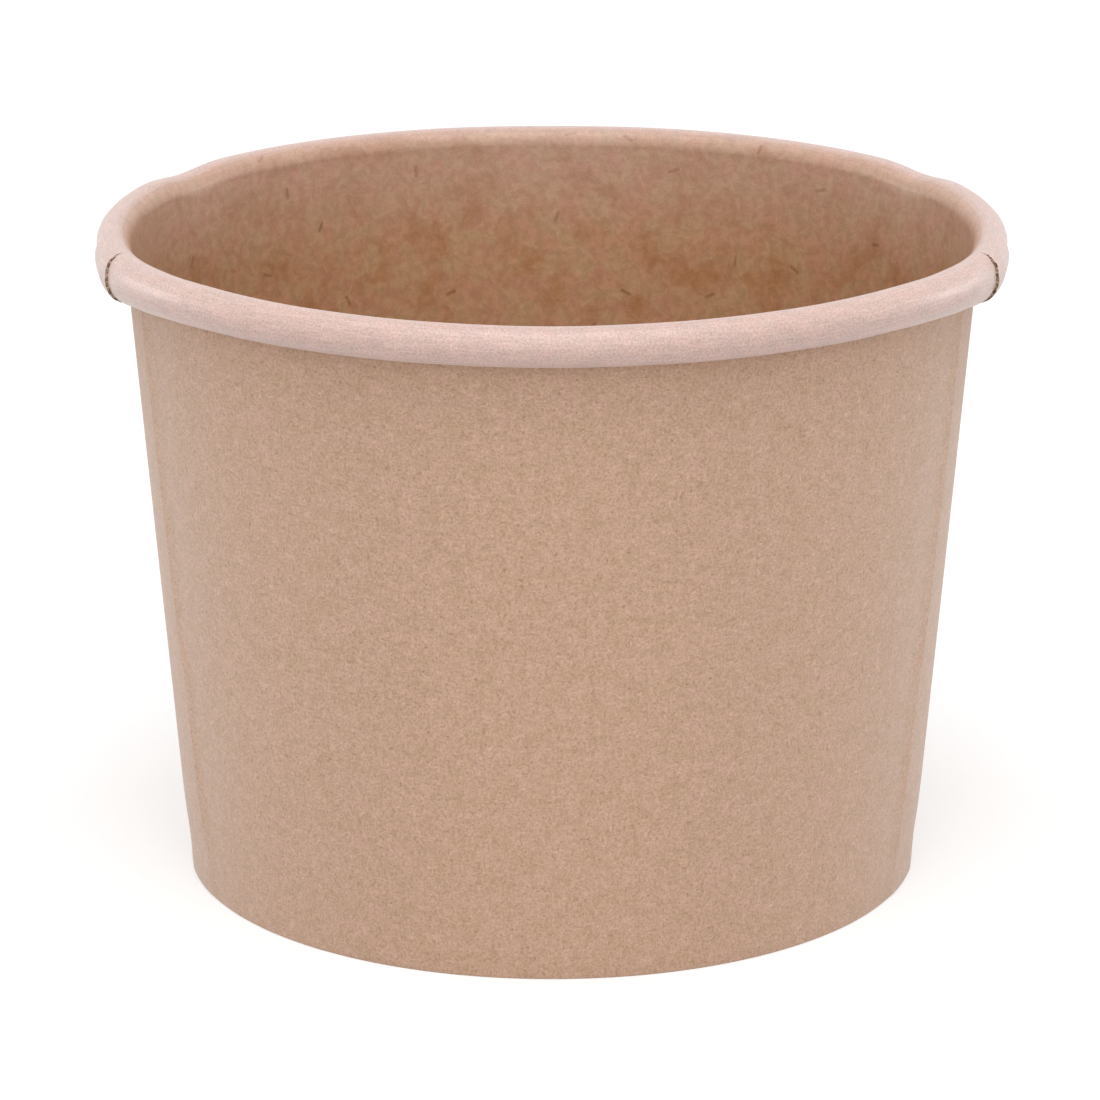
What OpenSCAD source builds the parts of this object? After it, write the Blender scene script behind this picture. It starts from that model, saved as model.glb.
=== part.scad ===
/* [Container] */
// Outside diameter over the rolled rim
rim_d = 98; // [92:1:116]
// Height from the resting plane to the top of the rolled rim
height = 71.6; // [55:0.1:110]
// Outside diameter of the wall where it meets the resting plane
base_d = 79.5; // [72:0.5:86]
// Thickness of the wall's paperboard
board = 0.4; // [0.35:0.01:0.55]

/* [Rolled rim] */
// Width and height of the roll, measured from the inside face of the wall outwards
roll_w = 4.1; // [3.2:0.05:5]
// Gap between the tucked end of the roll and the wall
tuck_gap = 0.2; // [0.1:0.05:0.4]

/* [Side laps] */
// Angle by which the lap's front edge stands in front of the side
lap_angle = 20.5; // [5:0.5:40]
// Width of the lap, measured round the wall at half height
lap_w = 8; // [6:0.5:14]
// Length over which the outer layer comes down past the inner layer's edge
ease_l = 2.5; // [2.5:0.5:4.5]

/* [Base] */
// Height of the inner floor above the resting plane
floor_z = 8; // [6:0.5:12]
// Thickness of the base's paperboard
base_board = 0.35; // [0.25:0.01:0.45]
// Outer radius of the base's turned-down corner
base_corner_r = 0.9; // [0.7:0.1:1.5]
// Height left between the hem's top edge and the base's corner
hem_clear = 0.6; // [0.3:0.1:1.2]
// Radius of the two corners of the bottom fold
fold_r = 0.35; // [0.2:0.05:0.4]
// Film gap between the base's skirt and the wall that holds it
seal_gap = 0.03; // [0.02:0.01:0.06]

/* [Hidden] */
$fn = 180;
kraft = [0.77, 0.64, 0.54];
kraft_base = [0.72, 0.58, 0.47];

// The bottom fold holds the base's skirt between two thicknesses of the wall
slot_w = base_board + 2 * seal_gap;
fold_w = 2 * board + slot_w;
hem_top = floor_z - base_corner_r - hem_clear;
corner_steps = 6;

// The wall leans out so far that the roll's outside comes to the rim's diameter.
// roll_r is the roll's own outer radius, and hollow_r that of the space inside it.
roll_r = roll_w / 2;
hollow_r = roll_r - board;
roll_c = [rim_d / 2 - roll_r, height - roll_r];
roll_reach = roll_c[0] - base_d / 2;
taper = atan2(roll_reach, roll_c[1]) - asin(hollow_r / norm([roll_reach, roll_c[1]]));
out = [cos(taper), -sin(taper)];

// The laps are laid out on the wall's outer face at half height
mid_r = base_d / 2 + height / 2 * tan(taper);
lap_turn = lap_w / mid_r * 180 / PI;
ease_turn = ease_l / mid_r * 180 / PI;
// The outer layer comes down on a flat, which falls by one board and the wall's own curve
ease_slope = atan((board + ease_l * ease_l / (2 * mid_r)) / ease_l);
layer_foot = fold_r;
layer_top = roll_c[1] - (tuck_depth(hollow_r) + tuck_depth(roll_r)) / 2;
hollow_clear = 1;
hollow_foot = floor_z + hollow_clear;
hollow_top = roll_c[1] - roll_r;

// A layer that joins the one below it starts this far inside it
bite = board / 4;

// Cutting shapes reach past everything that they trim
reach = rim_d;
trim_w = 2 * roll_w;
overcut = 0.02;

// A point at height z on the line that lies `inset` inside the wall's outer face
function face(inset, z) = [base_d / 2 + z * tan(taper) - inset / cos(taper), z];

// How far a circle of radius r round the roll's centre has come down at the tucked end
function tuck_depth(r) = sqrt(r * r - pow(hollow_r - tuck_gap, 2));

// Points round a corner of the bottom fold, from one direction to another
function corner(c, from, to) = [
    for (i = [0 : corner_steps])
        let (a = from + (to - from) * i / corner_steps)
            c + fold_r * [cos(a), sin(a)]
];

// The wall's sheet: up from the bottom fold to the roll, with the fold's slot for the skirt
module sheet_section() {
    polygon(concat(
        corner(face(fold_r, fold_r), -90, -taper),
        [
            roll_c - hollow_r * out, roll_c - roll_r * out,
            face(board, board), face(board + slot_w, board),
            face(board + slot_w, hem_top), face(fold_w, hem_top)
        ],
        corner(face(fold_w - fold_r, fold_r), 180 - taper, 270)
    ));
}

// What lies between the wall and the roll's tucked end, from the roll's centre down and up
module beside_tuck(above) {
    translate(roll_c) rotate(-taper) translate([-trim_w, -trim_w])
        square([trim_w - hollow_r + tuck_gap, trim_w + above]);
}

// The roll's section, whose tucked end stops short of the wall
module roll_section() {
    difference() {
        translate(roll_c) circle(roll_r);
        translate(roll_c) circle(hollow_r);
        beside_tuck(0);
    }
}

// What the second layer adds to the roll: nothing inside, and one board outside
module crescent_section() {
    difference() {
        translate(roll_c + board / 2 * out) circle(roll_r + board / 2);
        translate(roll_c) circle(roll_r - bite);
        beside_tuck(trim_w);
    }
}

// Sweeps a section round a lap, from one angle to another
module swept(from, to) {
    rotate([0, 0, from]) rotate_extrude(angle = to - from) children();
}

// A strip of sheet beside the wall's outer face
module strip_section(inset_a, inset_b, z_a, z_b) {
    polygon([face(inset_a, z_a), face(inset_b, z_a), face(inset_b, z_b), face(inset_a, z_b)]);
}

// Moves what follows to the left lap, and its mirror image to the right one:
// x points outwards at the lap's front edge, and y round to the front
module at_laps() {
    for (side = [0, 1]) {
        mirror([side, 0, 0]) rotate([0, 0, 180 + lap_angle]) children();
    }
}

// The space inside the flat on which the outer layer comes down, or inside its inner face
module under_flat(inset) {
    translate([mid_r + (board - inset) / cos(taper), 0, height / 2])
        rotate([0, taper, 0]) rotate([0, 0, ease_slope])
            translate([-reach, -reach, -reach]) cube([reach, 2 * reach, 2 * reach]);
}

// The lap's outer layer, carried over the inner layer's edge and down to the sheet
module outer_layer() {
    intersection() {
        swept(-lap_turn, 2 * ease_turn)
            strip_section(2 * bite, -board, layer_foot, layer_top);
        under_flat(0);
    }
}

// The hollow inside, between the inner layer's edge and the sheet that rises over it
module edge_hollow() {
    intersection() {
        swept(0, 2 * ease_turn) strip_section(2 * board, -overcut, hollow_foot, hollow_top);
        under_flat(board);
    }
}

// Paperboard wall with a rolled rim, a lap at each side and a folded hem
module wall() {
    color(kraft) difference() {
        union() {
            rotate_extrude() {
                sheet_section();
                roll_section();
            }
            at_laps() {
                swept(-lap_turn, 0) crescent_section();
                outer_layer();
            }
        }
        at_laps() edge_hollow();
    }
}

// The base's filled outline, `inset` inside its outer face
module base_outline(inset) {
    skirt = board + seal_gap;
    corner_c = face(skirt + base_corner_r, floor_z - base_corner_r);
    r = base_corner_r - inset;
    translate(corner_c) circle(r);
    polygon([
        [0, skirt], face(skirt + inset, skirt), corner_c + r * out,
        corner_c + [0, r], [0, floor_z - inset]
    ]);
}

// Round base panel, with its skirt turned down into the wall's fold
module base() {
    color(kraft_base) rotate_extrude() difference() {
        base_outline(0);
        base_outline(base_board);
    }
}

wall();
base();
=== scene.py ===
import math

import bpy
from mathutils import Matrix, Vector, noise


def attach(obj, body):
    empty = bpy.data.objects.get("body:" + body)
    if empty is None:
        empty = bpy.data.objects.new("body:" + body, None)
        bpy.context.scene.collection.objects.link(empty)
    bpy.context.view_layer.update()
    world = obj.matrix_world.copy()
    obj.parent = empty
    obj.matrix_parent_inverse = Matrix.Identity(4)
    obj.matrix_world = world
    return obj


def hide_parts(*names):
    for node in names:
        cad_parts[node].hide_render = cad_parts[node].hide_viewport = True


bl_info = {
    "name": "Paper Soup Container",
    "version": (1, 0, 0),
    "blender": (4, 5, 0),
    "location": "View3D > Sidebar > Container",
    "description": "Builds a kraft paperboard soup container around its packed CAD frame",
    "category": "Add Mesh",
}

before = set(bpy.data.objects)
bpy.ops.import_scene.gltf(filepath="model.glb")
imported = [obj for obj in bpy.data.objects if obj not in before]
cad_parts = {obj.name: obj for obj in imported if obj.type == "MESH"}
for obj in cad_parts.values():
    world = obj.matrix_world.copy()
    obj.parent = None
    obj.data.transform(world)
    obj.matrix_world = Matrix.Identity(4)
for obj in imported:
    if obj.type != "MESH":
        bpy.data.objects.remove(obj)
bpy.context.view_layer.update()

MM = 0.001

# Where the rim is even, in degrees in front of the side: its section stands for the whole
EVEN_AZ = 60.0
# Degrees from the roll's outermost line down to its tucked end, near enough for patterns
TUCK_DEPTH = 150
# Steps of the base's spin, and the angles in degrees past which an edge stays sharp
BASE_STEPS = 144
WALL_CREASE = 35
BASE_CREASE = 50


class ContainerSizes(bpy.types.PropertyGroup):
    """Sizes of the container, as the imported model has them"""

    rim_diameter: bpy.props.FloatProperty(
        name="Rim diameter", description="Outside diameter over the rolled rim",
        default=0.098, min=0.092, max=0.116, subtype="DISTANCE", unit="LENGTH")
    height: bpy.props.FloatProperty(
        name="Height", description="From the table to the top of the rolled rim",
        default=0.0716, min=0.055, max=0.11, subtype="DISTANCE", unit="LENGTH")
    base_diameter: bpy.props.FloatProperty(
        name="Base diameter", description="Outside diameter of the wall at the table",
        default=0.0795, min=0.072, max=0.086, subtype="DISTANCE", unit="LENGTH")
    board: bpy.props.FloatProperty(
        name="Board", description="Thickness of the wall's paperboard",
        default=0.0004, min=0.00035, max=0.00055, precision=5,
        subtype="DISTANCE", unit="LENGTH")
    roll_width: bpy.props.FloatProperty(
        name="Roll width", description="Width and height of the roll, before its unevenness",
        default=0.0041, min=0.0032, max=0.005, precision=5,
        subtype="DISTANCE", unit="LENGTH")
    tuck_gap: bpy.props.FloatProperty(
        name="Tuck gap", description="Gap between the roll's tucked end and the wall",
        default=0.0002, min=0.0001, max=0.0004, precision=5,
        subtype="DISTANCE", unit="LENGTH")
    lap_angle: bpy.props.FloatProperty(
        name="Lap angle", description="How far in front of the side the lap's front edge stands",
        default=math.radians(20.5), subtype="ANGLE", unit="ROTATION")
    lap_width: bpy.props.FloatProperty(
        name="Lap width", description="Width of the side lap, measured round the wall",
        default=0.008, min=0.006, max=0.014, subtype="DISTANCE", unit="LENGTH")
    roll_step: bpy.props.FloatProperty(
        name="Roll step", description="Height of the step that the lap makes on the roll",
        default=0.00032, min=0.0, max=0.0005, precision=5,
        subtype="DISTANCE", unit="LENGTH")
    floor_height: bpy.props.FloatProperty(
        name="Floor height", description="Height of the inner floor above the table",
        default=0.008, min=0.006, max=0.012, subtype="DISTANCE", unit="LENGTH")
    base_board: bpy.props.FloatProperty(
        name="Base board", description="Thickness of the base's paperboard",
        default=0.00035, min=0.00025, max=0.00045, precision=5,
        subtype="DISTANCE", unit="LENGTH")
    base_dish: bpy.props.FloatProperty(
        name="Base dish", description="How far the middle of the base has sunk",
        default=0.00012, min=0.0, max=0.0003, precision=5,
        subtype="DISTANCE", unit="LENGTH")


class ContainerColours(bpy.types.PropertyGroup):
    """Colours of the paper, as linear values"""

    outside_pink: bpy.props.FloatVectorProperty(
        name="Outside, pinkish", description="Paler and pinker patches of the uncoated outside",
        default=(0.598, 0.383, 0.275), subtype="COLOR", size=3, min=0, max=1)
    outside_tan: bpy.props.FloatVectorProperty(
        name="Outside, tan", description="Browner patches of the uncoated outside",
        default=(0.565, 0.364, 0.246), subtype="COLOR", size=3, min=0, max=1)
    inside_warm: bpy.props.FloatVectorProperty(
        name="Inside, warm", description="Reddish patches of the lined inside",
        default=(0.498, 0.260, 0.148), subtype="COLOR", size=3, min=0, max=1)
    inside_tan: bpy.props.FloatVectorProperty(
        name="Inside, tan", description="Greener patches of the lined inside",
        default=(0.480, 0.293, 0.158), subtype="COLOR", size=3, min=0, max=1)
    inside_brown: bpy.props.FloatVectorProperty(
        name="Inside, brown", description="Deeper patches of the lined inside",
        default=(0.422, 0.207, 0.093), subtype="COLOR", size=3, min=0, max=1)
    # Pale colour of the rolled rim: partly the lining's own colour, partly painted sheen of its
    # film where the roll faces up into the light
    rim_pale_and_painted_sheen: bpy.props.FloatVectorProperty(
        name="Rim", description="Stretched and polished lining on the rolled rim",
        default=(0.690, 0.475, 0.415), subtype="COLOR", size=3, min=0, max=1)
    rim_grey: bpy.props.FloatVectorProperty(
        name="Rim, greyish", description="Duller patches of the rolled rim",
        default=(0.640, 0.458, 0.405), subtype="COLOR", size=3, min=0, max=1)
    raw_edge: bpy.props.FloatVectorProperty(
        name="Raw edge", description="Cut edges of the board",
        default=(0.330, 0.230, 0.165), subtype="COLOR", size=3, min=0, max=1)


def mix(a, b, t):
    """The value that lies the share t of the way from a to b."""
    return a + (b - a) * t


def ease(t):
    """A smooth step from 0 to 1."""
    t = min(1.0, max(0.0, t))
    return t * t * (3 - 2 * t)


def along(marks, x):
    """The value at x on a smooth line through marks of (x, value)."""
    for (x0, v0), (x1, v1) in zip(marks, marks[1:]):
        if x <= x1:
            return mix(v0, v1, ease((x - x0) / (x1 - x0)))
    return marks[-1][1]


# The lap's edge is cut a little askew: degrees in front of the side at a height
LAP_LINE = ((0.0, 23.0), (0.020, 21.5), (0.035, 19.6), (0.050, 18.8), (0.062, 18.6),
            (0.0716, 18.9))
# Degrees to each side of the edge that its slant and its rough cut reach
LAP_REACH = 16
ROUGH_REACH = 0.6

# The rolling die leaves the rim uneven: millimetres at degrees in front of the side
RIM_RISE = ((-90, 0.03), (-70, 0.14), (-55, 0.18), (-38, 0.18), (-29, -0.25), (-21, 0.14),
            (-8, -0.02), (5, -0.12), (16, -0.17), (24, -0.10), (32, 0.04), (42, 0.18),
            (60, 0.12), (75, 0.05), (90, -0.02))
RIM_WIDEN = ((-90, 0), (-42, 0), (-32, -0.05), (-22, 0.30), (-15, 0.22), (-7, 0.02),
             (0, -0.17), (6, -0.38), (12, -0.27), (18, -0.05), (28, 0.1), (45, 0), (90, 0))
RIM_HEIGHTEN = ((-90, 0), (-25, 0.05), (0, 0.3), (8, 0.6), (15, 1.1), (21, 1.25), (28, 0.7),
                (36, 0.4), (48, 0.22), (60, 0.12), (90, 0))

# How much of the rim's pale colour the lining takes round the roll, at degrees up from its
# outermost line; its dip under the roll towards the tucked end is painted shade.
# Then the share of that colour left on the inside near its top, which is painted light, and the
# millimetres down the inside over which the last of it fades
ROLL_TINT_AND_PAINTED_SHADE = ((-160, 0.6), (-90, 1.0), (103, 1.0), (135, 0.52), (155, 0.36), (180, 0.32))
INSIDE_PAINTED_LIGHT = 0.30
PAINTED_LIGHT_DEPTH = 12


class SheetShape:
    """Where each point of the wall's sheet lies, from the container's sizes."""

    FOLD_R = 0.2 * MM
    SEAL_GAP = 0.03 * MM
    BASE_CORNER_R = 0.9 * MM
    HEM_CLEAR = 0.6 * MM
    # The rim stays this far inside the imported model's box
    BOX_CLEAR = 0.02 * MM
    # The pressed fold stands out this far at the table, from this height down
    FLARE = 0.16 * MM
    FLARE_TOP = 5 * MM
    # The roll is this much less wide than tall
    SLIM = 0.14 * MM
    # Height below the roll over which the wall follows the rim's rise and fall
    FOLLOW = 20 * MM
    # Degrees over which the outer layer comes down in front of the hidden edge and behind it
    RAMP = 4.2
    ROLL_RAMP = 5.0
    # Its lift is gone this far under the roll, and at the table only this share is left
    LIFT_FADE = 0.9 * MM
    FOOT_SHARE = 0.25
    FOOT_HEIGHT = 10 * MM
    # The hollow at the hidden edge: its start over the floor, its rise, its stop and fade
    # under the roll, and its depth as a share of the board
    HOLLOW_START = 0.3 * MM
    HOLLOW_RISE = 1.5 * MM
    HOLLOW_STOP = 0.5 * MM
    HOLLOW_FADE = 3 * MM
    HOLLOW_SHARE = 0.85
    # The roll's lift fades over its top and underneath, from a turn and over so many degrees
    TOP_FADE = (25, 68)
    UNDER_FADE = (-100, 75)
    UNDER_SHARE = 0.15
    # The tucked end keeps clear of the lifted layer at this depth under the roll's centre
    TUCK_CHECK = 1.2 * MM
    TUCK_SPARE = 1.05

    def __init__(self, sizes):
        self.board = sizes.board
        self.rim_r = sizes.rim_diameter / 2 - self.BOX_CLEAR
        self.base_r = sizes.base_diameter / 2
        self.roll_r = sizes.roll_width / 2
        self.hollow_r = self.roll_r - self.board
        across = self.rim_r - self.roll_r + self.SLIM / 2
        rise = sizes.height - self.BOX_CLEAR - self.roll_r
        reach = across - self.base_r
        inside = self.hollow_r - self.SLIM / 2
        self.taper = math.atan2(reach, rise) - math.asin(inside / math.hypot(reach, rise))
        self.up = Vector((math.sin(self.taper), math.cos(self.taper)))
        self.out = Vector((math.cos(self.taper), -math.sin(self.taper)))
        self.roll_c = Vector((across, rise))
        # The height at which the wall runs into the roll
        self.root = rise
        self.tuck_gap = sizes.tuck_gap
        self.roll_step = sizes.roll_step
        self.base_board = sizes.base_board
        self.base_dish = sizes.base_dish
        self.slot = sizes.base_board + 2 * self.SEAL_GAP
        self.fold = 2 * self.board + self.slot
        self.floor = sizes.floor_height
        self.hem_top = self.floor - self.BASE_CORNER_R - self.HEM_CLEAR
        self.mid_r = self.base_r + sizes.height / 2 * math.tan(self.taper)
        self.lap_front = math.degrees(sizes.lap_angle)
        self.lap_back = self.lap_front - math.degrees(sizes.lap_width / self.mid_r)

    def face(self, inset, z):
        """The point at height z on the line that lies inset inside the wall's outer face."""
        flare = self.FLARE * ease(1 - z / self.FLARE_TOP)
        outside = self.base_r + flare + z * math.tan(self.taper)
        return Vector((outside - inset / math.cos(self.taper), z))

    def rim_drop(self, az):
        """How far the uneven roll's centre stands from its even place, upwards."""
        return (along(RIM_RISE, az) - along(RIM_HEIGHTEN, az) / 2) * MM

    def wall_face(self, inset, z, az):
        """As face, with the wall's upper part following the uneven rim."""
        follow = ease((z - self.root + self.FOLLOW) / self.FOLLOW)
        return self.face(inset, z + follow * self.rim_drop(az))

    def layer_share(self, az):
        """How much of a board the outer layer still stands off, in front of the hidden edge."""
        return max(0.0, 1 - max(0.0, az - self.lap_front) / self.RAMP) ** 2

    def outer_lift(self, az, z):
        """Lift of the wall's outside over the hidden edge and up to the outer layer's own end."""
        share = self.layer_share(az) if az > self.lap_back else 0.0
        share *= ease((self.root - z) / self.LIFT_FADE)
        share *= mix(self.FOOT_SHARE, 1.0, ease((z - self.FOLD_R) / self.FOOT_HEIGHT))
        return share * self.board

    def inner_hollow(self, az, z):
        """How far the inside face stands back, in front of the inner layer's edge."""
        if az < self.lap_front:
            return 0.0
        share = self.layer_share(az)
        share *= ease((z - self.floor - self.HOLLOW_START) / self.HOLLOW_RISE)
        share *= ease((self.root - self.HOLLOW_STOP - z) / self.HOLLOW_FADE)
        return share * self.board * self.HOLLOW_SHARE

    def roll_lift(self, az, turn):
        """Lift of the roll's outside behind the lap's edge, fading over the top and underneath."""
        if az > self.lap_front:
            return 0.0
        top, top_length = self.TOP_FADE
        under, under_length = self.UNDER_FADE
        share = ease((az - (self.lap_back - self.ROLL_RAMP)) / self.ROLL_RAMP)
        share *= 1 - ease((turn - top) / top_length)
        share *= mix(self.UNDER_SHARE, 1.0, ease((turn - under) / under_length))
        return share * self.roll_step

    def rim_widen(self, az):
        """What the uneven roll's half width adds to its even radius."""
        return (along(RIM_WIDEN, az) * MM - self.SLIM) / 2

    def round_roll(self, az, radius, turn, lift):
        """A point of the roll at a turn, in degrees up from its outermost line."""
        widen = self.rim_widen(az)
        centre = self.roll_c + Vector((widen + self.SLIM / 2, self.rim_drop(az)))
        a = math.radians(turn)
        across = radius + widen + lift
        upwards = radius + along(RIM_HEIGHTEN, az) * MM / 2 + lift
        return centre + across * math.cos(a) * self.out + upwards * math.sin(a) * self.up

    def tuck_turn(self, az, radius):
        """The turn at which the roll's tucked end stops, clear of the wall."""
        widen = self.rim_widen(az)
        crowd = self.TUCK_SPARE * self.outer_lift(az, self.root - self.TUCK_CHECK)
        inside = self.hollow_r + widen - self.tuck_gap - crowd
        return math.degrees(math.acos(inside / (radius + widen))) - 180

    def point(self, part, value, az):
        """The radius and height of a station of the section, at the azimuth az."""
        if part == "outer":
            return self.wall_face(-self.outer_lift(az, value), value, az)
        if part == "inner":
            return self.wall_face(self.board - self.inner_hollow(az, value), value, az)
        if part == "slot":
            return self.face(self.board + self.slot, value)
        if part == "hem":
            return self.face(self.fold, value)
        if part in ("fold_in", "fold_out"):
            inset = self.fold - self.FOLD_R if part == "fold_in" else self.FOLD_R
            a = math.radians(value)
            across = Vector((math.cos(a), math.sin(a)))
            return self.face(inset, self.FOLD_R) + self.FOLD_R * across
        if part == "tuck":
            radius = mix(self.hollow_r, self.roll_r, value)
            return self.round_roll(az, radius, self.tuck_turn(az, radius), 0.0)
        radius = self.hollow_r if part == "hollow" else self.roll_r
        turn = value if value >= 0 else -value * self.tuck_turn(az, radius)
        lift = self.roll_lift(az, turn) if part == "roll" else 0.0
        return self.round_roll(az, radius, turn, lift)


def sheet_stations(shape):
    """The stations round the sheet's closed section: (part, value) in order.

    outer: up the outside of the wall; hollow: the inside of the roll; tuck: its cut end;
    roll: round the roll's outside and over its top; inner: down the inside of the wall;
    slot, hem, fold: the bottom fold. Heights are in metres. A turn round the roll is in degrees
    from its outermost line upwards, and downwards a negative share of the way to the tucked end."""
    root, low = shape.root, shape.FOLD_R
    stations = [("outer", mix(low, root - 3 * MM, i / 30)) for i in range(31)]
    stations += [("outer", root - d * MM) for d in (2.4, 1.9, 1.5, 1.15, 0.8, 0.45, 0.0)]
    stations += [("hollow", 180 - 22.5 * i) for i in range(9)]
    stations += [("hollow", -i / 6) for i in range(1, 7)]
    stations += [("tuck", 0.5)]
    stations += [("roll", -(1 - i / 18)) for i in range(18)]
    stations += [("roll", 6.0 * i) for i in range(31)]
    stations += [("inner", root - d * MM) for d in (0.0, 0.5, 1.0, 1.5, 2.0, 2.6, 3.3)]
    top, bottom = root - 4.2 * MM, shape.floor + 1.0 * MM
    stations += [("inner", mix(top, bottom, i / 26)) for i in range(27)]
    stations += [("inner", shape.floor + d * MM) for d in (0.6, 0.0, -0.9)]
    stations += [("inner", z) for z in (4.0 * MM, 2.0 * MM, shape.board)]
    stations += [("slot", z) for z in (shape.board, 2.0 * MM, 4.0 * MM, shape.hem_top)]
    stations += [("hem", z) for z in (shape.hem_top, 5.0 * MM, 3.5 * MM, 2.0 * MM, 1.0 * MM)]
    stations += [("fold_in", 180 + i * 15.0) for i in range(7)]
    stations += [("fold_out", -90 + i * 15.0) for i in range(6)]
    return stations


def sheet_turns(shape):
    """The rings round the container: (side, degrees in front of that side).

    The rings crowd at the lap, and two stand close together at each of its edges."""
    front, back = shape.lap_front, shape.lap_back
    edge = 0.012
    half = [90 - 1.5 * i for i in range(40)]
    half += [30 - 0.8 * i for i in range(8)]
    half += [front + 0.01 + 0.3 * i for i in range(10, 0, -1)]
    half += [front + edge, front - edge]
    half += [mix(front, back, i / 17) for i in range(1, 17)]
    half += [back + edge, back - edge]
    half += [back - 0.6 * i for i in range(1, 11)]
    half += [mix(back - 6.0, -90, i / 66) for i in range(1, 67)]
    return [(1, az) for az in half] + [(-1, az) for az in reversed(half)]


def roll_turn(value):
    """Degrees up from the roll's outermost line at a station of the roll."""
    return value if value >= 0 else value * TUCK_DEPTH


def lap_warp(shape, part, value, z, az, side):
    """Turns the rings near the lap, so that they follow its slanting, slightly rough edges."""
    near = 1 - ease(abs(az - shape.lap_front) / LAP_REACH)
    shift = (along(LAP_LINE, z) - shape.lap_front) * near
    close = 1 - ease(abs(az - shape.lap_front) / ROUGH_REACH)
    if part == "roll":
        turn = roll_turn(value)
        rough = 0.25 * noise.noise(Vector((turn * 0.05, side * 7.3, 2.1)))
        rough += 0.42 * noise.noise(Vector((turn * 0.31, side * 3.1, 8.4)))
    else:
        rough = 0.05 * noise.noise(Vector((z * 900, side * 5.7, 4.4)))
    return shift + rough * close


def lay_sheet(obj, shape, stations, turns):
    """Puts every vertex of the spun sheet where the paper lies, and returns each one's place."""
    count = len(turns)
    places = []
    station_of = obj.data.attributes["station"].data
    for vertex in obj.data.vertices:
        k = round(math.atan2(vertex.co.y, vertex.co.x) / math.tau * count) % count
        places.append((station_of[vertex.index].value, k))
    for vertex, (j, k) in zip(obj.data.vertices, places):
        side, az = turns[k]
        part, value = stations[j]
        r, z = shape.point(part, value, az)
        swing = az + lap_warp(shape, part, value, z, az, side)
        phi = math.radians(-swing if side > 0 else 180 + swing)
        vertex.co = Vector((r * math.cos(phi), r * math.sin(phi), z))
    return places


def pale_tint_and_painted_light(shape, part, value, z):
    """How much of the roll's pale colour the sheet has at a station, with painted shade under the
    roll towards its tucked end and painted light near the top of the inside.
    """
    if part == "roll":
        # the rim's pale colour round the roll, with painted shade under it towards the tucked end
        return along(ROLL_TINT_AND_PAINTED_SHADE, roll_turn(value))
    if part == "inner":
        # painted light: the inside wall is made paler near its top, fading downwards
        return INSIDE_PAINTED_LIGHT * (1 - ease((shape.root - z) / (PAINTED_LIGHT_DEPTH * MM)))
    return 0.0


def write_sheet_uv(obj, shape, stations, places, turns):
    """Lays the sheet flat in metres: u round the container, v along the section."""
    lengths = [0.0]
    points = [shape.point(part, value, EVEN_AZ) for part, value in stations]
    for a, b in zip(points, points[1:]):
        lengths.append(lengths[-1] + (b - a).length)
    whole = lengths[-1] + (points[0] - points[-1]).length
    uv = obj.data.uv_layers.new(name="sheet")
    # The rolled attribute holds the share of the rim's pale colour: on the inside near its top it
    # is painted light, under the roll towards its tucked end painted shade
    rolled = obj.data.attributes.new("rolled", "FLOAT", "POINT")
    for vertex, (j, _) in zip(obj.data.vertices, places):
        rolled.data[vertex.index].value = pale_tint_and_painted_light(shape, *stations[j], vertex.co.z)
    for poly in obj.data.polygons:
        corners = [places[obj.data.loops[i].vertex_index] for i in poly.loop_indices]
        js, ks = zip(*corners)
        wraps_round = max(ks) - min(ks) > len(turns) / 2
        wraps_along = max(js) - min(js) > len(stations) / 2
        for loop, (j, k) in zip(poly.loop_indices, corners):
            side, az = turns[k]
            phi = -az if side > 0 else 180 + az
            if wraps_round and phi < 90:
                phi += 360
            v = lengths[j]
            if wraps_along and j < len(stations) / 2:
                v += whole
            uv.data[loop].uv = (math.radians(phi) * shape.mid_r, v)


# The wall's materials, in the order of its slots
OUTSIDE, LINED, RIM, RAW = range(4)
# The turn over the roll at which the polished rim gives way to the inside's lining
RIM_END = 126
# Two rings as close as this, in degrees, stand at one of the lap's edges
EDGE_WIDTH = 0.05


def paint_sheet(obj, stations, places, turns, shape):
    """Gives each face the outside, the lined inside or the raw edge."""
    for poly in obj.data.polygons:
        corners = [places[v] for v in poly.vertices]
        js = sorted({j for j, _ in corners})
        azs = [turns[k][1] for _, k in corners]
        parts = [stations[j][0] for j in js]
        slot = LINED if parts[0] in ("roll", "inner") else OUTSIDE
        if all(stations[j][0] == "roll" and stations[j][1] <= RIM_END for j in js):
            slot = RIM
        if "tuck" in parts or (parts[0] == "slot" and parts[-1] == "hem"):
            slot = RAW
        if max(azs) - min(azs) < EDGE_WIDTH:
            at_front = min(azs) < shape.lap_front < max(azs)
            if set(parts) & ({"roll", "inner"} if at_front else {"outer"}):
                slot = RAW
        poly.material_index = slot


def deselect_all():
    """Leaves nothing selected, so that an operator acts on the new piece alone."""
    for obj in bpy.context.selected_objects:
        obj.select_set(False)


def start_section(name, points, closed=True):
    """A ring of vertices laid along a section, as the start of a spin."""
    deselect_all()
    bpy.ops.mesh.primitive_circle_add(vertices=len(points), radius=0.01)
    obj = bpy.context.object
    obj.name = name
    obj.data.name = name
    station = obj.data.attributes.new("station", "INT", "POINT")
    for vertex, (r, z) in zip(obj.data.vertices, points):
        station.data[vertex.index].value = vertex.index
        vertex.co = Vector((r, 0, z))
    if not closed:
        open_section(obj)
    return obj


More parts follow.
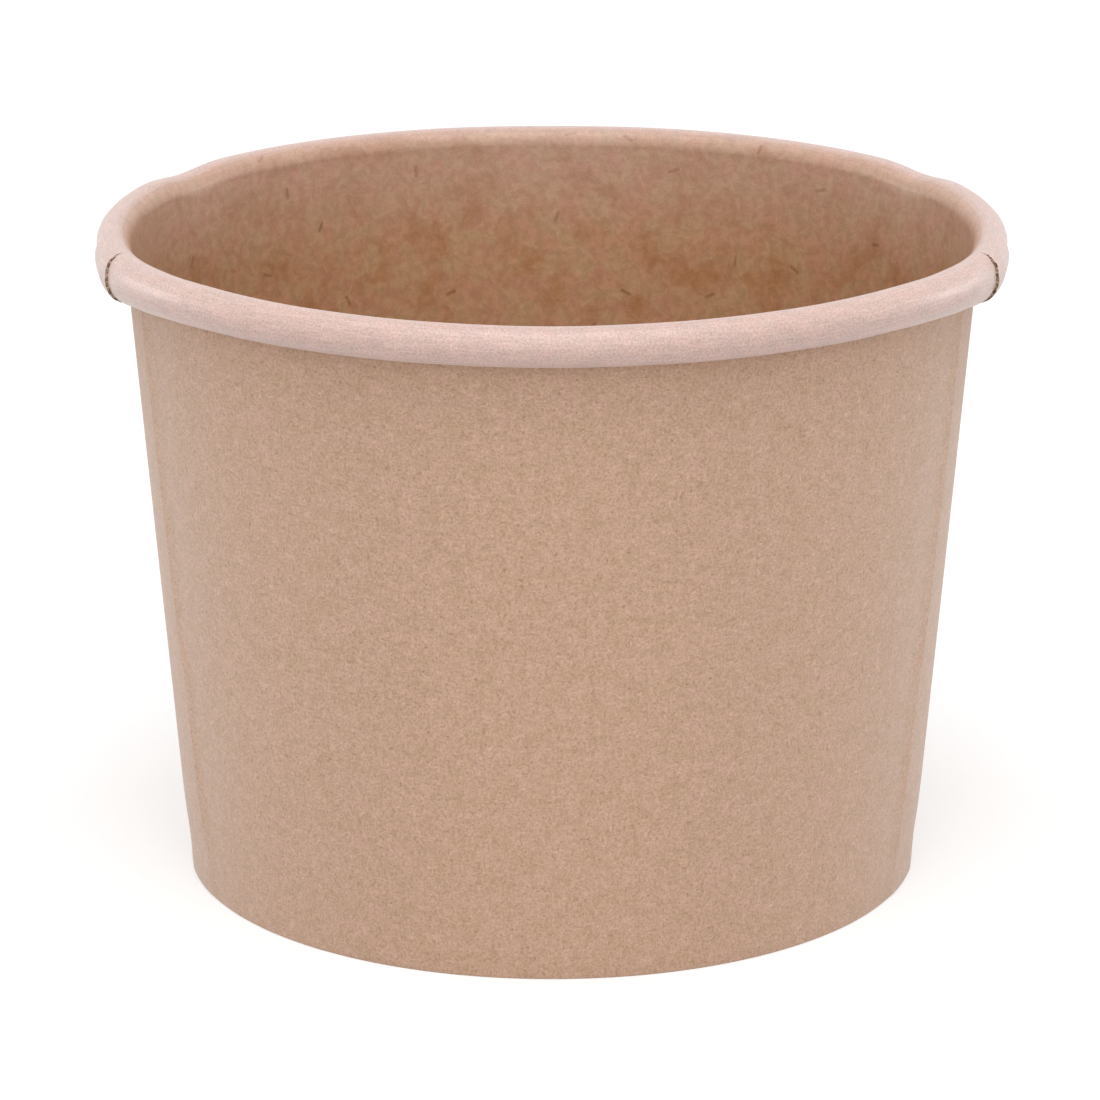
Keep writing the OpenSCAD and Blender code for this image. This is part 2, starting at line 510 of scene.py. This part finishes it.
def open_section(obj):
    """Takes out the edge that joins a section's last point to its first."""
    ends = {0, len(obj.data.vertices) - 1}
    bpy.ops.object.mode_set(mode="EDIT")
    bpy.ops.mesh.select_mode(type="EDGE")
    bpy.ops.mesh.select_all(action="DESELECT")
    bpy.ops.object.mode_set(mode="OBJECT")
    for edge in obj.data.edges:
        edge.select = set(edge.vertices) == ends
    bpy.ops.object.mode_set(mode="EDIT")
    bpy.ops.mesh.delete(type="EDGE_FACE")
    bpy.ops.mesh.select_mode(type="VERT")
    bpy.ops.object.mode_set(mode="OBJECT")


def spin_section(obj, steps):
    """Spins the section once round the axis and closes the seam and the poles."""
    bpy.ops.object.mode_set(mode="EDIT")
    bpy.ops.mesh.select_all(action="SELECT")
    bpy.ops.mesh.spin(steps=steps, angle=math.tau, center=(0, 0, 0), axis=(0, 0, 1))
    bpy.ops.mesh.select_all(action="SELECT")
    bpy.ops.mesh.remove_doubles(threshold=1e-6)
    bpy.ops.object.mode_set(mode="OBJECT")


def finish_piece(obj, body, node, angle):
    """Turns the faces outwards, smooths all but the sharp edges and stands in for the node."""
    bpy.ops.object.mode_set(mode="EDIT")
    bpy.ops.mesh.select_all(action="SELECT")
    bpy.ops.mesh.normals_make_consistent(inside=False)
    bpy.ops.object.mode_set(mode="OBJECT")
    bpy.ops.object.shade_smooth_by_angle(angle=math.radians(angle))
    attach(obj, body)
    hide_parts(node)


def base_section(shape):
    """The base's section from the middle of the floor round the skirt to the middle below."""
    skirt = shape.board + shape.SEAL_GAP
    corner = shape.face(skirt + shape.BASE_CORNER_R, shape.floor - shape.BASE_CORNER_R)
    flat = [corner.x * i / 24 for i in range(24)]

    def layer(inset):
        """Half of the section: along the floor, round the corner and down the skirt."""
        r = shape.BASE_CORNER_R - inset
        half = []
        for x in flat:
            sunk = shape.base_dish * (1 - (x / corner.x) ** 2) ** 2
            half.append(Vector((x, shape.floor - inset - sunk)))
        for i in range(9):
            a = mix(math.pi / 2, -shape.taper, i / 8)
            half.append(corner + r * Vector((math.cos(a), math.sin(a))))
        half += [shape.face(skirt + inset, z) for z in (4 * MM, 2 * MM, skirt)]
        return half

    return layer(0) + layer(shape.base_board)[::-1]


class PaperNodes:
    """A node material for paper, with short calls for its patterns."""

    # How much more the tone moves green and blue than red
    TONE_GAINS = (1.0, 1.2, 1.4)

    def __init__(self, name, roughness, specular):
        self.material = bpy.data.materials.new(name)
        self.material.use_nodes = True
        self.tree = self.material.node_tree
        self.shader = self.tree.nodes["Principled BSDF"]
        self.shader.inputs["Roughness"].default_value = roughness
        self.shader.inputs["Specular IOR Level"].default_value = specular

    def add(self, kind, **values):
        """Adds a node of a kind and sets its own values."""
        node = self.tree.nodes.new(kind)
        for name, value in values.items():
            setattr(node, name, value)
        return node

    def put(self, socket, value):
        """Links an output to a socket, or sets the socket's own value."""
        if isinstance(value, bpy.types.NodeSocket):
            self.tree.links.new(value, socket)
        else:
            socket.default_value = value

    def flat_sheet(self):
        """The flat sheet's coordinates in millimetres."""
        uv = self.add("ShaderNodeUVMap", uv_map="sheet")
        return self.vector("SCALE", uv.outputs["UV"], scale=1000.0)

    def own_place(self):
        """The piece's own coordinates in millimetres."""
        place = self.add("ShaderNodeTexCoord").outputs["Object"]
        return self.vector("SCALE", place, scale=1000.0)

    def vector(self, operation, *values, scale=None):
        """A vector sum, difference or scaling."""
        node = self.add("ShaderNodeVectorMath", operation=operation)
        for socket, value in zip(node.inputs, values):
            self.put(socket, value)
        if scale is not None:
            self.put(node.inputs["Scale"], scale)
        return node.outputs["Vector"]

    def maths(self, operation, *values):
        """One step of arithmetic on numbers or outputs."""
        node = self.add("ShaderNodeMath", operation=operation)
        for socket, value in zip(node.inputs, values):
            self.put(socket, value)
        return node.outputs[0]

    def noise(self, source, scale, detail=2.0, roughness=0.5):
        """Flat noise of so many waves a millimetre."""
        node = self.add("ShaderNodeTexNoise", noise_dimensions="2D")
        self.put(node.inputs["Vector"], source)
        for name, value in (("Scale", scale), ("Detail", detail), ("Roughness", roughness)):
            self.put(node.inputs[name], value)
        return node.outputs["Fac"]

    def bent(self, source, scale, amount):
        """The coordinates, bent a little by a slow noise."""
        node = self.add("ShaderNodeTexNoise", noise_dimensions="2D")
        self.put(node.inputs["Vector"], source)
        self.put(node.inputs["Scale"], scale)
        self.put(node.inputs["Detail"], 1.0)
        return self.vector("MULTIPLY_ADD", node.outputs["Color"], (amount, amount, 0), source)

    def between(self, source, low, high, to_low=0.0, to_high=1.0):
        """Maps low..high smoothly to to_low..to_high."""
        node = self.add("ShaderNodeMapRange", interpolation_type="SMOOTHSTEP")
        values = (("Value", source), ("From Min", low), ("From Max", high),
                  ("To Min", to_low), ("To Max", to_high))
        for name, value in values:
            self.put(node.inputs[name], value)
        return node.outputs["Result"]

    def blend(self, share, a, b, kind="MIX"):
        """Mixes two colours, given as outputs or as plain colours."""
        node = self.add("ShaderNodeMix", data_type="RGBA", blend_type=kind)
        colours = [socket for socket in node.inputs if socket.type == "RGBA"]
        self.put(node.inputs["Factor"], share)
        for socket, value in zip(colours, (a, b)):
            self.put(socket, value if isinstance(value, bpy.types.NodeSocket) else (*value, 1.0))
        return next(socket for socket in node.outputs if socket.type == "RGBA")

    def streaks(self, source, turn, length, width, low, high, seed):
        """Thin streaks of about the given length and width in mm, as a mask."""
        node = self.add("ShaderNodeMapping", vector_type="TEXTURE")
        self.put(node.inputs["Vector"], source)
        self.put(node.inputs["Location"], (seed * 3.1, seed * 1.7, 0))
        self.put(node.inputs["Rotation"], (0, 0, math.radians(turn)))
        self.put(node.inputs["Scale"], (length, width, 1))
        return self.between(self.noise(node.outputs["Vector"], 1.0, 0.0), low, high)

    def strands(self, source, spacing, length, width, share, seed):
        """Single straight fibres, one in some of the cells of an even scatter, as a mask."""
        moved = self.vector("ADD", source, (seed, seed * 0.37, 0))
        cells = self.add("ShaderNodeTexVoronoi", voronoi_dimensions="2D")
        self.put(cells.inputs["Vector"], moved)
        self.put(cells.inputs["Scale"], 1 / spacing)
        chance = self.add("ShaderNodeSeparateColor")
        self.put(chance.inputs["Color"], cells.outputs["Color"])
        turned = self.add("ShaderNodeVectorRotate", rotation_type="Z_AXIS")
        self.put(turned.inputs["Vector"], self.vector("SUBTRACT", moved, cells.outputs["Position"]))
        self.put(turned.inputs["Angle"], self.maths("MULTIPLY", chance.outputs["Red"], math.tau))
        across = self.add("ShaderNodeSeparateXYZ")
        self.put(across.inputs["Vector"], turned.outputs["Vector"])
        off = self.maths("ABSOLUTE", across.outputs["X"])
        end = self.maths("ABSOLUTE", across.outputs["Y"])
        body = self.maths("MULTIPLY", self.between(off, 0.3 * width, 0.8 * width, 1.0, 0.0),
                          self.between(end, 0.3 * length, 0.55 * length, 1.0, 0.0))
        chosen = self.between(chance.outputs["Green"], 1 - share, 1.02 - share)
        return self.maths("MULTIPLY", body, chosen)

    def colour(self, colour, tone):
        """Gives the shader a colour, made paler or a deeper brown by a tone about 1."""
        shade = self.add("ShaderNodeCombineColor")
        for socket, gain in zip(shade.inputs, self.TONE_GAINS):
            self.put(socket, self.maths("MULTIPLY_ADD", tone, gain, 1 - gain))
        toned = self.blend(1.0, colour, shade.outputs["Color"], "MULTIPLY")
        self.put(self.shader.inputs["Base Color"], toned)

    def sheen(self, weight, roughness):
        """The pale bloom of paper seen at a low angle."""
        self.shader.inputs["Sheen Weight"].default_value = weight
        self.shader.inputs["Sheen Roughness"].default_value = roughness

    def relief(self, height, distance, strength):
        """Raises the surface by a pattern, by at most the distance in metres."""
        bump = self.add("ShaderNodeBump")
        self.put(bump.inputs["Strength"], strength)
        self.put(bump.inputs["Distance"], distance)
        self.put(bump.inputs["Height"], height)
        self.put(self.shader.inputs["Normal"], bump.outputs["Normal"])


def kraft_outside(colours):
    """Uncoated kraft: soft pink and tan patches, fine grain, pale strands and dark specks."""
    nodes = PaperNodes("kraft_outside", 0.86, 0.25)
    paper = nodes.flat_sheet()
    bent = nodes.bent(paper, 0.8, 1.2)
    patches = nodes.between(nodes.noise(paper, 0.42, 2.0, 0.6), 0.34, 0.66)
    colour = nodes.blend(patches, colours.outside_tan, colours.outside_pink)
    cloud = nodes.between(nodes.noise(paper, 1.2, 2.0, 0.6), 0.3, 0.7, 0.965, 1.035)
    grain = nodes.between(nodes.noise(paper, 3.4, 2.0, 0.8), 0.28, 0.72, 0.895, 1.095)
    tone = nodes.maths("MULTIPLY", cloud, grain)
    lying = nodes.streaks(bent, 3, 1.5, 0.13, 0.60, 0.76, 3.0)
    rising = nodes.streaks(bent, 74, 1.1, 0.13, 0.62, 0.78, 11.0)
    pale = nodes.maths("MAXIMUM", lying, rising)
    dark = nodes.streaks(bent, 118, 0.9, 0.14, 0.66, 0.78, 40.0)
    tone = nodes.maths("MULTIPLY_ADD", pale, 0.13, tone)
    tone = nodes.maths("MULTIPLY_ADD", dark, -0.10, tone)
    specks = nodes.between(nodes.noise(paper, 2.9, 0.0), 0.74, 0.82)
    tone = nodes.maths("MULTIPLY_ADD", specks, -0.16, tone)
    nodes.colour(colour, tone)
    nodes.sheen(0.42, 0.5)
    nodes.relief(grain, 0.00006, 0.5)
    return nodes.material


def lined_board(nodes, paper, colours):
    """The colour and tone of lined kraft: blotches in three hues, with a few dark strands."""
    bent = nodes.bent(paper, 0.45, 1.4)
    warm = nodes.between(nodes.noise(bent, 0.30, 2.0, 0.6), 0.34, 0.66)
    elsewhere = nodes.vector("ADD", bent, (31.0, 17.0, 0))
    deep = nodes.between(nodes.noise(elsewhere, 0.20, 3.0, 0.6), 0.46, 0.74)
    colour = nodes.blend(warm, colours.inside_tan, colours.inside_warm)
    colour = nodes.blend(deep, colour, colours.inside_brown)
    blotch = nodes.between(nodes.noise(bent, 0.95, 2.0, 0.6), 0.3, 0.7, 0.92, 1.08)
    grain = nodes.between(nodes.noise(paper, 3.2, 1.0, 0.7), 0.3, 0.7, 0.965, 1.035)
    tone = nodes.maths("MULTIPLY", blotch, grain)
    pale = nodes.maths("MAXIMUM", nodes.streaks(bent, 22, 3.0, 0.30, 0.60, 0.80, 11.0),
                       nodes.streaks(bent, 115, 2.4, 0.30, 0.62, 0.80, 23.0))
    tone = nodes.maths("MULTIPLY_ADD", pale, 0.06, tone)
    strand = nodes.strands(paper, 4.6, 1.5, 0.34, 0.30, 5.0)
    tone = nodes.maths("MULTIPLY_ADD", strand, -0.30, tone)
    return colour, tone, grain


def kraft_lined(colours, name, sheen):
    """Lined kraft under a satin film, pale and specked round the roll, with painted light near the
    top of the inside and painted shade under the roll.
    """
    nodes = PaperNodes(name, 0.42, 0.5)
    paper = nodes.flat_sheet()
    inside, tone, grain = lined_board(nodes, paper, colours)
    # rolled: the rim's pale colour share, with painted light near the inside's top and painted
    # shade under the roll
    tint_light_node = nodes.add("ShaderNodeAttribute", attribute_name="rolled", attribute_type="GEOMETRY")
    rolled = tint_light_node.outputs["Fac"]
    patches = nodes.between(nodes.noise(paper, 0.5, 2.0, 0.6), 0.35, 0.65)
    rim = nodes.blend(patches, colours.rim_grey, colours.rim_pale_and_painted_sheen)
    calm = nodes.maths("MULTIPLY_ADD", rolled, -0.75, 1.0)
    tone = nodes.maths("MULTIPLY_ADD", nodes.maths("SUBTRACT", tone, 1.0), calm, 1.0)
    pits = nodes.between(nodes.noise(paper, 4.4, 2.0, 0.8), 0.30, 0.66, -0.17, 0.07)
    lines = nodes.streaks(paper, 0, 3.4, 0.24, 0.40, 0.75, 70.0)
    marks = nodes.maths("MULTIPLY_ADD", lines, 0.07, pits)
    tone = nodes.maths("MULTIPLY_ADD", marks, rolled, tone)
    nodes.colour(nodes.blend(rolled, inside, rim), tone)
    nodes.sheen(sheen, 0.5)
    nodes.relief(grain, 0.00005, 0.3)
    return nodes.material


def kraft_base(colours):
    """The base's lined kraft, on the piece's own coordinates."""
    nodes = PaperNodes("kraft_base", 0.5, 0.4)
    colour, tone, grain = lined_board(nodes, nodes.own_place(), colours)
    nodes.colour(colour, tone)
    nodes.relief(grain, 0.00005, 0.3)
    return nodes.material


def raw_board_edge(colours):
    """Cut board: brown layers with torn fibres."""
    nodes = PaperNodes("raw_edge", 0.95, 0.1)
    place = nodes.own_place()
    layers = nodes.add("ShaderNodeTexNoise")
    nodes.put(layers.inputs["Vector"], place)
    nodes.put(layers.inputs["Scale"], 3.2)
    nodes.put(layers.inputs["Roughness"], 0.75)
    tone = nodes.between(layers.outputs["Fac"], 0.35, 0.65, 0.4, 1.6)
    nodes.colour(colours.raw_edge, tone)
    nodes.relief(tone, 0.00008, 0.8)
    return nodes.material


class CONTAINER_OT_wall(bpy.types.Operator):
    """Wall: one sheet with a rolled rim, a lap at each side and a folded hem"""

    bl_idname = "container.wall"
    bl_label = "Paper wall"

    def execute(self, context):
        colours = context.scene.container_colours
        shape = SheetShape(context.scene.container_sizes)
        stations = sheet_stations(shape)
        turns = sheet_turns(shape)
        section = [shape.point(*station, EVEN_AZ) for station in stations]
        obj = start_section("paper_wall", section)
        spin_section(obj, len(turns))
        places = lay_sheet(obj, shape, stations, turns)
        write_sheet_uv(obj, shape, stations, places, turns)
        papers = (kraft_outside(colours), kraft_lined(colours, "kraft_lined", 0.0),
                  kraft_lined(colours, "kraft_rim", 0.3), raw_board_edge(colours))
        for material in papers:
            obj.data.materials.append(material)
        paint_sheet(obj, stations, places, turns, shape)
        finish_piece(obj, "root", "wall", WALL_CREASE)
        return {"FINISHED"}


class CONTAINER_OT_base(bpy.types.Operator):
    """Base: a round panel with its skirt turned down into the wall's fold"""

    bl_idname = "container.base"
    bl_label = "Base panel"

    def execute(self, context):
        shape = SheetShape(context.scene.container_sizes)
        obj = start_section("base_panel", base_section(shape), closed=False)
        spin_section(obj, BASE_STEPS)
        obj.data.materials.append(kraft_base(context.scene.container_colours))
        finish_piece(obj, "root", "base", BASE_CREASE)
        return {"FINISHED"}


# The middle of the container, which every lamp looks at
LAMP_AIM = (0, 0, 0.04)


def add_lamp(name, place, size, watts):
    """A square soft lamp, aimed at the middle of the container."""
    data = bpy.data.lights.new(name, "AREA")
    data.shape = "SQUARE"
    data.size = size
    data.energy = watts
    lamp = bpy.data.objects.new(name, data)
    bpy.context.collection.objects.link(lamp)
    lamp.location = place
    look = Vector(LAMP_AIM) - Vector(place)
    lamp.rotation_euler = look.to_track_quat("-Z", "Y").to_euler()


def seen_level(tree, lit, seen):
    """The level lit for light that falls on the container, and seen where the camera looks."""
    path = tree.nodes.new("ShaderNodeLightPath")
    looks = path.outputs["Is Camera Ray"]
    for name in ("Is Glossy Ray", "Is Transmission Ray"):
        either = tree.nodes.new("ShaderNodeMath")
        either.operation = "MAXIMUM"
        tree.links.new(looks, either.inputs[0])
        tree.links.new(path.outputs[name], either.inputs[1])
        looks = either.outputs[0]
    level = tree.nodes.new("ShaderNodeMapRange")
    tree.links.new(looks, level.inputs["Value"])
    level.inputs["To Min"].default_value = lit
    level.inputs["To Max"].default_value = seen
    return level.outputs["Result"]


class CONTAINER_OT_stage(bpy.types.Operator):
    """Stage: a pale floor, white surroundings, soft lamps and the camera"""

    bl_idname = "container.stage"
    bl_label = "Stage"

    FLOOR_SIZE = 6
    FLOOR_COLOUR = (0.65, 0.65, 0.65, 1)
    FLOOR_GLOW = 0.45
    SKY_LIGHT = 0.48
    # Name, place, size in metres and power in watts
    LAMPS = (
        ("top", (0, -0.35, 1.25), 1.0, 9.2),
        ("left", (-1.05, 0.45, 0.17), 0.32, 2.4),
        ("right", (1.05, 0.45, 0.17), 0.32, 2.4),
        ("front", (0, -1.3, 0.7), 1.0, 5.3),
    )
    # The photograph's view: lens and sensor in millimetres, tilt in degrees from straight down
    LENS = 163.18
    SENSOR = 36
    SHIFT_X = -0.00182
    CAMERA_PLACE = (0, -0.5216, 0.1927)
    CAMERA_TILT = 73.12

    def execute(self, context):
        self.lay_floor()
        self.light_world(context.scene)
        for lamp in self.LAMPS:
            add_lamp(*lamp)
        self.place_camera(context)
        context.scene.view_settings.view_transform = "Standard"
        return {"FINISHED"}

    def lay_floor(self):
        deselect_all()
        bpy.ops.mesh.primitive_plane_add(size=self.FLOOR_SIZE)
        floor = bpy.context.object
        floor.name = "floor"
        material = bpy.data.materials.new("floor")
        material.use_nodes = True
        tree = material.node_tree
        shader = tree.nodes["Principled BSDF"]
        shader.inputs["Base Color"].default_value = self.FLOOR_COLOUR
        shader.inputs["Roughness"].default_value = 0.9
        shader.inputs["Specular IOR Level"].default_value = 0.0
        shader.inputs["Emission Color"].default_value = (1, 1, 1, 1)
        tree.links.new(seen_level(tree, 0.0, self.FLOOR_GLOW), shader.inputs["Emission Strength"])
        floor.data.materials.append(material)

    def light_world(self, scene):
        world = bpy.data.worlds.new("studio")
        world.use_nodes = True
        scene.world = world
        back = world.node_tree.nodes["Background"]
        back.inputs["Color"].default_value = (1, 1, 1, 1)
        level = seen_level(world.node_tree, self.SKY_LIGHT, 1.0)
        world.node_tree.links.new(level, back.inputs["Strength"])

    def place_camera(self, context):
        data = bpy.data.cameras.new("camera")
        data.lens = self.LENS
        data.sensor_width = self.SENSOR
        data.shift_x = self.SHIFT_X
        camera = bpy.data.objects.new("camera", data)
        context.collection.objects.link(camera)
        camera.location = self.CAMERA_PLACE
        camera.rotation_euler = (math.radians(self.CAMERA_TILT), 0, 0)
        context.scene.camera = camera


class CONTAINER_PT_panel(bpy.types.Panel):
    """Lists the container's pieces and their settings"""

    bl_idname = "CONTAINER_PT_panel"
    bl_label = "Soup container"
    bl_space_type = "VIEW_3D"
    bl_region_type = "UI"
    bl_category = "Container"

    def draw(self, context):
        for name in ("container_sizes", "container_colours"):
            group = getattr(context.scene, name)
            for field in group.bl_rna.properties.keys():
                if field not in ("rna_type", "name"):
                    self.layout.prop(group, field)
        for operator in OPERATORS:
            self.layout.operator(operator.bl_idname)


OPERATORS = (CONTAINER_OT_wall, CONTAINER_OT_base, CONTAINER_OT_stage)
CLASSES = (ContainerSizes, ContainerColours, *OPERATORS, CONTAINER_PT_panel)


def register():
    for cls in CLASSES:
        bpy.utils.register_class(cls)
    bpy.types.Scene.container_sizes = bpy.props.PointerProperty(type=ContainerSizes)
    bpy.types.Scene.container_colours = bpy.props.PointerProperty(type=ContainerColours)


def unregister():
    del bpy.types.Scene.container_sizes
    del bpy.types.Scene.container_colours
    for cls in reversed(CLASSES):
        bpy.utils.unregister_class(cls)


def main():
    register()
    bpy.ops.container.wall()
    bpy.ops.container.base()
    bpy.ops.container.stage()


if __name__ == "__main__":
    main()
